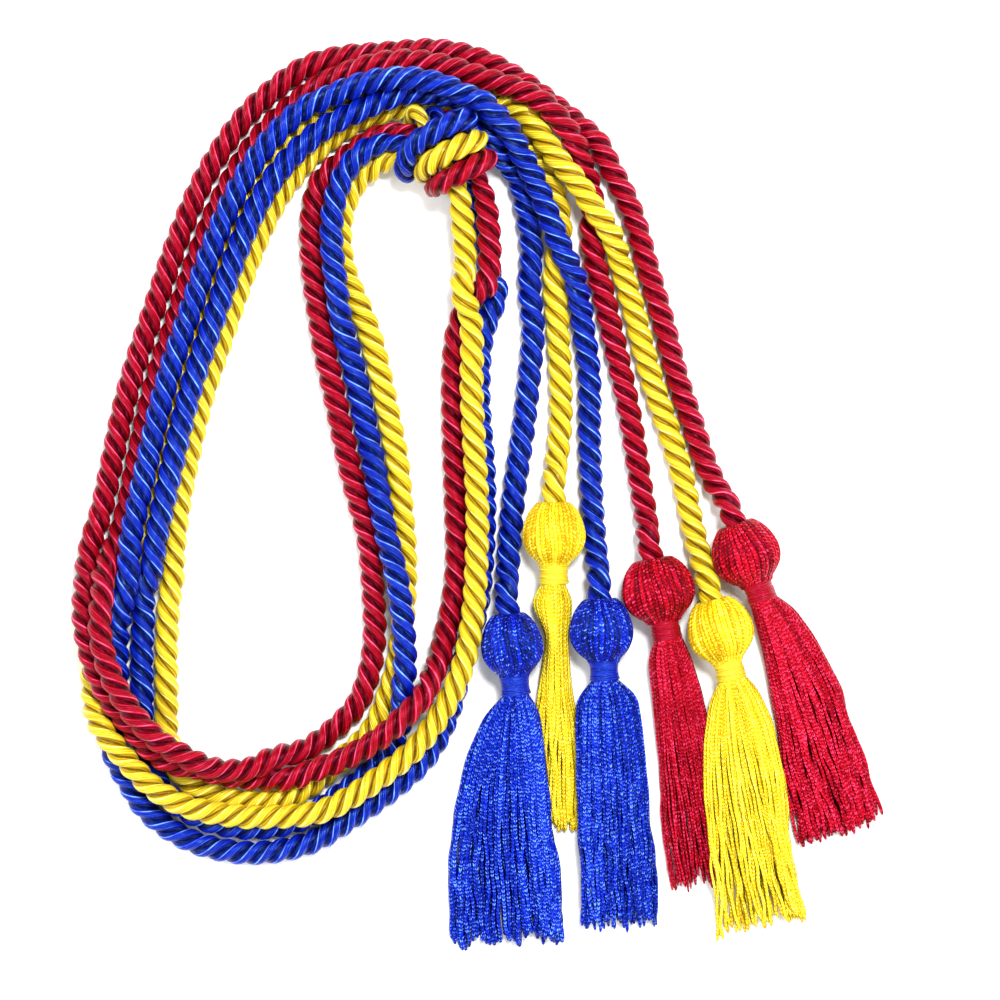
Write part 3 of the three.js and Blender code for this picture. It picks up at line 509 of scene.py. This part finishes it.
def chainette(shade, loops=1.0):
    """Chainette yarn: two columns of small slanted loops along each yarn, with painted shade between the loops and
    along each yarn's sides and painted glints on the loops, every yarn a little lighter or darker. Loops is how much
    they show: on a head the yarns are drawn tight and their long streaks show instead."""
    deep, body, crest, tint = YARN_SHADES[shade]
    material, tree, surface = nodes_of(f"{shade} chainette yarn" if loops == 1 else f"{shade} tight yarn")
    g = Graph(tree)
    along, around = g.layer("yarn")
    own, _ = g.layer("tone")
    column = g.math("ABSOLUTE", g.math("MULTIPLY_ADD", g.math("FRACT", g.math("MULTIPLY", around, 2.0)), 2.0, -1.0))
    sway = g.noise(g.math("MULTIPLY", along, 0.5), g.math("MULTIPLY", own, 31.0), 5.0, detail=1.0)
    turn = g.math("ADD", g.math("DIVIDE", along, LOOP_LENGTH), g.math("MULTIPLY", column, 0.6))
    turn = g.math("ADD", turn, g.math("MULTIPLY", sway, 1.6))
    loop = g.math("MULTIPLY_ADD", g.math("COSINE", g.math("MULTIPLY", turn, 2 * math.pi)), 0.5, 0.5)
    leg = g.math("MULTIPLY", g.math("MULTIPLY", column, g.math("SUBTRACT", 1.0, column)), 4.0)
    hair = g.noise(g.math("MULTIPLY", along, 1.1), g.math("MULTIPLY", around, 21.0), own, detail=2.0)
    patch = g.noise(g.math("MULTIPLY", along, 0.11), g.math("MULTIPLY", own, 9.0), 3.0, detail=1.0)
    # Painted glints: bright spots on the loops' legs, scattered at random.
    glint_spots = g.noise(g.math("MULTIPLY", along, 0.8), g.math("MULTIPLY", around, 2.4), g.math("MULTIPLY", own, 70.0))
    glint_spots = g.math("MAXIMUM", g.math("MULTIPLY_ADD", glint_spots, 4.4, -1.9), 0.0)
    painted_glint = g.math("MULTIPLY", g.math("MULTIPLY", g.math("POWER", loop, 2.0), leg), glint_spots)
    streak = g.noise(g.math("MULTIPLY", along, 0.16), g.math("MULTIPLY", around, 9.0), g.math("MULTIPLY", own, 50.0))
    # The loops show in the tone: lighter on each loop, with painted shade in the gaps between loops.
    tone = g.math("MULTIPLY_ADD", loop, 0.34 * loops, g.math("MULTIPLY", hair, 0.3))
    tone = g.math("ADD", tone, g.math("MULTIPLY_ADD", streak, 1.2 * (1 - loops), -0.56 * (1 - loops) - 0.02))
    tone = g.math("ADD", tone, g.math("MULTIPLY_ADD", own, 0.26, -0.06))
    tone = g.math("ADD", tone, g.math("MULTIPLY_ADD", patch, 0.4, -0.14))
    tone = g.math("ADD", tone, g.math("MULTIPLY", painted_glint, 0.8))
    # Painted shade along each yarn's sides, where the yarns meet.
    tone = g.math("SUBTRACT", tone, g.math("MULTIPLY", g.math("POWER", column, 3.0), 0.3))
    # deep is painted shade, tint the colour of the painted glints.
    colour = g.ramp(tone, [(0.14, deep), (0.38, body), (0.66, crest), (1.0, tint)])
    tree.links.new(colour, surface.inputs["Base Color"])
    relief = g.bump(g.math("MULTIPLY", loop, leg), 0.3 * loops)
    tree.links.new(g.bump(hair, 0.05, relief), surface.inputs["Normal"])
    surface.inputs["Roughness"].default_value = 0.36
    surface.inputs["Specular IOR Level"].default_value = 0.45
    surface.inputs["Specular Tint"].default_value = (*tint, 1)
    return material


# The camera looks straight down at the middle of the loops and the tassels.
VIEW_RIGHT = 500
VIEW_DOWN = 500
VIEW_WIDTH = 0.32  # metres across the frame, at the cords' height
VIEW_HEIGHT = 0.012  # metres, of the cords' middles over the floor
LENS = 135
SENSOR = 36
camera_at = place(VIEW_RIGHT, VIEW_DOWN) * MM
camera_data = bpy.data.cameras.new("camera")
camera_data.lens = LENS
camera_data.sensor_width = SENSOR
camera = bpy.data.objects.new("camera", camera_data)
camera.location = (camera_at[0], camera_at[1], VIEW_WIDTH * LENS / SENSOR + VIEW_HEIGHT)
bpy.context.scene.collection.objects.link(camera)
bpy.context.scene.camera = camera

# Cords

RING_STEP = 1.3
STRAND_SIDES = 12
STRAND_RADIUS = 2.1
STRAND_OFFSET = 1.9  # of a strand's middle from the cord's
OPEN_SPACE = (CORD_FULL - CORD_DIAMETER) / 2
INTO_HEAD = 3.0  # of a cord's end, past where it goes in


def frames_along(points):
    """Tangents and two cross directions along a line, turned as little as possible."""
    tangent = unit(np.gradient(points, axis=0))
    normal = np.zeros_like(points)
    start = np.cross(tangent[0], [0, 0, 1.0])
    normal[0] = unit(start)
    for i in range(1, len(points)):
        carried = normal[i - 1] - tangent[i] * np.dot(normal[i - 1], tangent[i])
        normal[i] = carried / np.linalg.norm(carried)
    return tangent, normal, np.cross(tangent, normal)


def strand_outline():
    """The radius of a cord's section at each step round it: three strands pressed against each other."""
    angle = (np.arange(STRAND_SIDES) / STRAND_SIDES - 0.5) * 2 * math.pi / STRANDS
    reach = STRAND_OFFSET * np.cos(angle) + np.sqrt(STRAND_RADIUS**2 - (STRAND_OFFSET * np.sin(angle)) ** 2)
    return np.tile(reach / (STRAND_OFFSET + STRAND_RADIUS), STRANDS)


def cord_piece(shade, samples):
    """One cord along its settled line, and the line itself in metres."""
    at, radius = samples
    start, finish = ROUTES[shade][0], ROUTES[shade][1]
    at = np.vstack([at[0] + direction(start) * INTO_HEAD, at, at[-1] + direction(finish) * INTO_HEAD])
    radius = np.r_[radius[0], radius, radius[-1]]
    t = np.linspace(0, 1, len(at) * 8)
    fine = curve_at(at, t)
    lengths = lengths_along(fine)
    count = int(lengths[-1] / RING_STEP)
    place_of = np.interp(np.linspace(0, lengths[-1], count), lengths, t)
    line = curve_at(at, place_of)
    full = np.interp(place_of * (len(at) - 1), np.arange(len(at)), radius) + OPEN_SPACE
    run = lengths_along(line)
    _, normal, binormal = frames_along(line)
    sides = STRANDS * STRAND_SIDES
    around = 2 * math.pi * np.arange(sides)[None, :] / sides - 2 * math.pi * run[:, None] / LAY
    reach = full[:, None] * strand_outline()[None, :]
    rings = (line[:, None, :] + normal[:, None, :] * (reach * np.cos(around))[:, :, None]
             + binormal[:, None, :] * (reach * np.sin(around))[:, :, None])
    rings[:, :, 2] = np.maximum(rings[:, :, 2], 0.02)
    points = np.vstack([rings.reshape(-1, 3), line[:1], line[-1:]])
    side = np.arange(sides)
    after = (side + 1) % sides
    first, last = len(points) - 2, len(points) - 1
    end = (count - 1) * sides
    triangles = np.vstack([
        np.stack([np.full(sides, first), after, side], axis=1),
        np.stack([np.full(sides, last), end + side, end + after], axis=1),
    ])
    uv = grid_uv(run, np.arange(sides + 1.0)).reshape(-1, sides, 4, 2)
    for face in range(sides):
        strand, local = divmod(face, STRAND_SIDES)
        edges = (np.array([local, local + 1]) / STRAND_SIDES - 0.5) * STRAND_ACROSS
        uv[:, face, :, 1] = edges[[0, 1, 1, 0]]
        uv[:, face, :, 0] += strand * STRAND_SHIFT
    piece = mesh_piece(f"twisted_cord_{shade}", points, tube_quads(count, sides),
                       {"strand": uv.reshape(-1, 4, 2)}, triangles)
    return piece, line * MM, run[-1] * MM


settled = settle([drawn_samples(*ROUTES[shade]) for shade in ROUTES])
for shade, samples in zip(ROUTES, settled):
    piece, line, length = cord_piece(shade, samples)
    dress(piece, satin(shade))
    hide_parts(f"cord_{shade}")
    print(f"cord {shade}: {length:.3f} m")

# Tassels

HEAD_RIBS = 38
RIB_SIDES = 5
HEAD_ROWS = 52
HEAD_RADIUS = 10
# The head's outline: radius, and place along it from where the cord goes in.
HEAD_OUTLINE = [
    (3.2, 2.6), (3.3, 1.2), (3.9, 0.1), (5.0, 0.1), (6.6, 1.5), (8.2, 3.8), (9.5, 7.0), (10.1, 10.2), (9.8, 13.2),
    (8.6, 15.9), (6.8, 18.0), (5.3, 19.4), (4.6, 20.8),
]
HEAD_GIRTH = {"blue_1": 1.0, "gold_1": 1.0, "blue_2": 1.04, "red_1": 1.19, "gold_2": 1.07, "red_2": 1.12}
HEAD_FOLD = {"blue_1": 0.26, "gold_1": 0.12, "blue_2": 0.26, "red_1": 0.38, "gold_2": 0.16, "red_2": 0.38}
HEAD_PLEATS = (7, 11, 17)  # folds round a head, laid over each other
BINDING_TURNS = 13
BINDING_RADIUS = 4.45
BINDING_FLARE = 0.6  # wider at its ends
BINDING_RIDGE = 0.1
BINDING_SIDES = 40
TURN_ROWS = 5
YARN_FULL = 1.02  # the most that a yarn's radius is
YARN_TIGHT = 0.5  # its radius under the binding
YARN_SIDES = 6
YARN_ROWS = 84
YARN_COUNT = {"blue_1": 99, "gold_1": 60, "blue_2": 87, "red_1": 78, "gold_2": 99, "red_2": 90}
YARN_LAYERS = (1.0, 0.0, 0.74)  # how high each third of the yarns lies, from the floor side up
YARN_WAVES = ((1.3, 0.95), (2.9, 0.5), (6.1, 0.28))  # waves along a yarn and how far each sways it
CLUMP_WIDTH = 9  # of the clumps that the yarns gather in
CLUMP_SWAY = 0.4
SEEDS = {name: 11 + 7 * i for i, name in enumerate(TASSELS)}


def in_place(name, points):
    """From a tassel's own frame, where it hangs along -Y over the floor, to the shared one."""
    lean = math.radians(TASSELS[name][3])
    turn = np.array([[math.cos(lean), math.sin(lean), 0], [-math.sin(lean), math.cos(lean), 0], [0, 0, 1]])
    return points @ turn + place(*TASSELS[name][1:3]) + direction(name) * CORD_END_GAP


def ease_in(t, end):
    share = np.clip(np.asarray(t, float) / end, 0, 1)
    return share * share * (3 - 2 * share)


def head_piece(name):
    """A tassel's head: yarns laid side by side from the cord, over the swelling, down to the binding."""
    chance = np.random.default_rng(SEEDS[name])
    rows = curve_at(np.array([(r, y, 0) for r, y in HEAD_OUTLINE], float), np.linspace(0, 1, HEAD_ROWS))
    radius, along = rows[:, 0], rows[:, 1]
    widths = chance.uniform(0.75, 1.25, HEAD_RIBS)
    edges = np.r_[0, np.cumsum(widths)] / widths.sum() * 2 * math.pi
    local = np.arange(RIB_SIDES) / RIB_SIDES
    angle = (edges[:-1, None] + np.diff(edges)[:, None] * local[None, :]).ravel()
    crest = np.sqrt(1 - (0.93 * (2 * local - 1)) ** 2)
    high = chance.uniform(-0.15, 0.3, HEAD_RIBS)
    deep = chance.uniform(0.5, 1.35, HEAD_RIBS)
    rib = (high[:, None] * np.sin(math.pi * local)[None, :] + deep[:, None] * (crest - 1)[None, :]).ravel()
    swell = np.minimum(radius / HEAD_RADIUS, 1)[:, None]
    wander = 0.07 * np.sin(along[:, None] * 0.23 + 2 * angle[None, :] + chance.uniform(0, 6))
    folds = np.clip(np.sin(along * 0.16), 0, 1)[:, None]
    lumps = 0.2 * np.sin(3 * angle + chance.uniform(0, 6))[None, :] * folds
    for around in HEAD_PLEATS:
        fold = np.sin(around * angle + chance.uniform(0, 6))[None, :] ** 2
        lumps = lumps - HEAD_FOLD[name] * chance.uniform(0.5, 1) * fold * folds
    reach = radius[:, None] + (rib[None, :] + lumps) * swell
    turned = angle[None, :] + wander
    points = np.stack([reach * np.cos(turned) * HEAD_GIRTH[name], -np.repeat(along[:, None], len(angle), 1),
                       AXIS_HEIGHT + reach * np.sin(turned)], axis=2)
    points[:, :, 2] = np.maximum(points[:, :, 2], 0.02)
    sides = HEAD_RIBS * RIB_SIDES
    run = lengths_along(rows)
    uv = grid_uv(run, np.arange(sides + 1.0)).reshape(-1, sides, 4, 2)
    tone = np.zeros_like(uv)
    shade = chance.uniform(0, 1, HEAD_RIBS)
    for face in range(sides):
        rib_index, step = divmod(face, RIB_SIDES)
        cross = np.array([step, step + 1]) / RIB_SIDES / 2
        uv[:, face, :, 1] = cross[[0, 1, 1, 0]]
        uv[:, face, :, 0] += rib_index * RIB_SHIFT
        tone[:, face, :, 0] = shade[rib_index]
    return mesh_piece(f"head_{name}", in_place(name, points.reshape(-1, 3)), tube_quads(HEAD_ROWS, sides),
                      {"yarn": uv.reshape(-1, 4, 2), "tone": tone.reshape(-1, 4, 2)})


def binding_piece(name):
    """The binding wound round the neck between the head and the skirt."""
    rows = BINDING_TURNS * TURN_ROWS + 1
    share = np.linspace(0, 1, rows)
    along = HEAD_LENGTH + CLEARANCE / 2 + share * (BINDING_LENGTH + CLEARANCE)
    swell = BINDING_RADIUS + BINDING_FLARE * (2 * share - 1) ** 2
    angle = 2 * math.pi * np.arange(BINDING_SIDES) / BINDING_SIDES
    phase = share[:, None] * BINDING_TURNS + angle[None, :] / (2 * math.pi)
    reach = swell[:, None] + BINDING_RIDGE * np.abs(np.sin(math.pi * phase))
    ends = np.minimum(np.minimum(share, 1 - share) * 14, 1)[:, None]
    reach = reach * (0.86 + 0.14 * ends)
    points = np.stack([reach * np.cos(angle)[None, :], -np.repeat(along[:, None], BINDING_SIDES, 1),
                       AXIS_HEIGHT + reach * np.sin(angle)[None, :]], axis=2)
    uv = grid_uv(phase[:, 0] * 0.5, np.r_[angle, 2 * math.pi] * 5.0)[..., ::-1].copy()
    uv[..., 1] = (uv[..., 1] % 2.2 - 1.1) * 1.1
    return mesh_piece(f"wound_thread_{name}", in_place(name, points.reshape(-1, 3)),
                      tube_quads(rows, BINDING_SIDES), {"strand": uv})


def sections(name, t):
    """The skirt's sections at each t along it, with the table's corners rounded."""
    table = np.array(TASSELS[name][4], float)
    fine = np.linspace(0, 1, 201)
    columns = []
    for column in range(1, 7):
        value = np.interp(fine, table[:, 0], table[:, column])
        padded = np.r_[2 * value[0] - value[12:0:-1], value, 2 * value[-1] - value[-2:-14:-1]]
        kernel = np.hanning(27)[1:-1]
        columns.append(np.interp(t, fine, np.convolve(padded, kernel / kernel.sum(), "same")[12:-12]))
    return columns


def skirt_piece(name):
    """The skirt: loose chainette yarns that fan out from under the binding, in three rough layers and in clumps."""
    chance = np.random.default_rng(SEEDS[name] + 500)
    count = YARN_COUNT[name]
    t = np.linspace(-0.05, 1, YARN_ROWS)
    inside = np.clip(t, 0, 1)
    left, right, lift, thick, left_lift, right_lift = sections(name, inside)
    share = (np.arange(count) + 0.5) / count
    disc = np.linspace(-1, 1, 401)
    area = 0.5 + (disc * np.sqrt(1 - disc**2) + np.arcsin(disc)) / math.pi
    round_x = np.interp(share, area, disc)
    flat_x = (2 * share - 1) * 0.99
    spread = ease_in(inside, 0.4)[None, :]
    x = round_x[:, None] * (1 - spread) + flat_x[:, None] * spread
    x = np.clip(x, -0.985, 0.985)
    layer = np.array(YARN_LAYERS)[np.arange(count) % 3][:, None] + chance.uniform(-0.13, 0.13, (count, 1))
    width = (left[-1] + right[-1]) * SKIRT_WIDTH
    full = min(YARN_FULL, 3 * width / count * 0.62)
    radius = YARN_TIGHT + (full - YARN_TIGHT) * ease_in(inside, 0.35)
    reach = np.where(x < 0, left[None, :], right[None, :]) * SKIRT_WIDTH - radius[None, :]
    edge_lift = np.where(x < 0, left_lift[None, :], right_lift[None, :]) * np.abs(x)
    under = (lift[None, :] + edge_lift) * SKIRT_THICKNESS
    thickness = thick[None, :] * SKIRT_THICKNESS
    bulge = np.sqrt(1 - x**2)
    bound = ease_in(inside, 0.07)[None, :]
    waist = (0.5 + (0.34 - 0.5) * bound) * thickness
    low = under + waist * np.maximum(0, 1 - bulge * (1 + 0.3 * bound))
    top = under + waist + (thickness - waist) * bulge
    room = np.maximum(top - low - 2 * radius[None, :], 0)
    z = low + radius[None, :] + room * np.clip(layer, 0, 1)
    z = np.where(top - low < 2 * radius[None, :], (top + low) / 2, z)
    loose = ease_in(inside, 0.9)[None, :]
    waves = np.zeros((count, YARN_ROWS))
    for waves_along, size in YARN_WAVES:
        waves += size * np.sin(2 * math.pi * waves_along * inside[None, :] * chance.uniform(0.8, 1.25, (count, 1))
                               + chance.uniform(0, 2 * math.pi, (count, 1))) * chance.uniform(0.3, 1, (count, 1))
    clumps = np.sin(2 * math.pi * (share[:, None] * width / CLUMP_WIDTH + 0.35 * np.sin(2.2 * inside[None, :]))
                    + np.arange(count)[:, None] % 3 * 2.1 + SEEDS[name])
    side = x * reach + (waves + CLUMP_SWAY * clumps) * loose * min(1.0, width / 26)
    z = z + 0.25 * loose * np.sin(9 * inside[None, :] + chance.uniform(0, 6, (count, 1)))
    tip = ease_in(np.maximum(inside - 0.93, 0), 0.07)[None, :]
    side = side + tip * chance.normal(0, 0.55, (count, 1))
    longer = chance.normal(0, 1.0, (count, 1)) + 1.2 * np.sin(np.arange(count) * 0.41 + SEEDS[name])[:, None]
    along = HEAD_LENGTH + BINDING_LENGTH + 2 * CLEARANCE + t[None, :] * (SKIRT_LENGTH + longer)
    z = np.maximum(z, radius[None, :] * 0.9)
    line = np.stack([side, -along, z], axis=2)
    tangent = unit(np.gradient(line, axis=1))
    across = unit(np.cross(tangent, [0, 0, 1.0]))
    below = np.cross(tangent, across)
    girth = np.repeat(radius[None, :], count, 0) * chance.uniform(0.9, 1.1, (count, 1))
    girth[:, -1] *= 0.6
    angle = 2 * math.pi * np.arange(YARN_SIDES) / YARN_SIDES
    rings = (line[:, :, None, :]
             + across[:, :, None, :] * (girth[:, :, None] * np.cos(angle))[..., None]
             + below[:, :, None, :] * (girth[:, :, None] * 0.88 * np.sin(angle))[..., None])
    rings[..., 2] = np.maximum(rings[..., 2], 0.02)
    each = YARN_ROWS * YARN_SIDES
    points = np.vstack([rings.reshape(-1, 3), line[:, -1] + tangent[:, -1] * 0.2])
    starts = np.arange(count)[:, None, None] * each
    quads = (tube_quads(YARN_ROWS, YARN_SIDES)[None] + starts).reshape(-1, 4)
    ring = np.arange(YARN_SIDES)
    end = np.arange(count)[:, None] * each + (YARN_ROWS - 1) * YARN_SIDES
    tips = np.repeat(count * each + np.arange(count)[:, None], YARN_SIDES, 1)
    triangles = np.stack([tips, end + ring, end + (ring + 1) % YARN_SIDES], axis=2).reshape(-1, 3)
    run = t * SKIRT_LENGTH
    one = grid_uv(run, np.arange(YARN_SIDES + 1.0) / YARN_SIDES)
    uv = np.repeat(one[None], count, 0)
    uv[..., 0] += chance.uniform(0, 1, (count, 1, 1))
    tone = np.zeros_like(uv)
    tone[..., 0] = chance.uniform(0, 1, (count, 1, 1))
    return mesh_piece(f"skirt_{name}", in_place(name, points), quads,
                      {"yarn": uv.reshape(-1, 4, 2), "tone": tone.reshape(-1, 4, 2)}, triangles)


for name, (shade, *_) in TASSELS.items():
    head = dress(head_piece(name), chainette(shade, loops=0.4))
    skirt = dress(skirt_piece(name), chainette(shade))
    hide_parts(f"tassel_{name}")
    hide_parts(f"tassel_{name}")
    band = dress(binding_piece(name), satin(shade, highlight_strength=0.3))
    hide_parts(f"binding_{name}")

# Floor and light

floor_mesh = bpy.data.meshes.new("floor")
floor_mesh.from_pydata([(-3, -3, 0), (3, -3, 0), (3, 3, 0), (-3, 3, 0)], [], [(0, 1, 2, 3)])
floor = bpy.data.objects.new("floor", floor_mesh)
bpy.context.scene.collection.objects.link(floor)
paper, _, paper_surface = nodes_of("white paper")
paper_surface.inputs["Base Color"].default_value = (0.95, 0.95, 0.95, 1)
paper_surface.inputs["Roughness"].default_value = 0.9
floor.data.materials.append(paper)


def area_light(name, at, size, power):
    """A soft white light over the floor, turned to the middle of the view."""
    data = bpy.data.lights.new(name, "AREA")
    data.shape = "RECTANGLE"
    data.size, data.size_y = size
    data.energy = power
    light = bpy.data.objects.new(name, data)
    light.location = at
    target = np.array([camera_at[0], camera_at[1], 0])
    away = np.array(at) - target
    flat = math.hypot(away[0], away[1])
    light.rotation_euler = (math.atan2(flat, away[2]), 0, math.atan2(away[1], away[0]) + math.pi / 2)
    bpy.context.scene.collection.objects.link(light)


# One row per light: name, place, size and power.
LIGHTS = [
    ("key", (0.15, 0.55, 1.35), (0.3, 0.3), 26),
    ("left", (-1.1, 0.2, 0.9), (0.5, 1.4), 14),
    ("right", (1.0, 0.1, 0.9), (0.5, 1.4), 14),
    ("front", (0.0, -1.0, 0.9), (1.4, 0.5), 10),
]
for light_row in LIGHTS:
    area_light(*light_row)
world = bpy.data.worlds.new("studio")
world.use_nodes = True
world.node_tree.nodes["Background"].inputs["Color"].default_value = (1, 1, 1, 1)
world.node_tree.nodes["Background"].inputs["Strength"].default_value = 0.35
bpy.context.scene.world = world
bpy.context.scene.view_settings.view_transform = "Standard"
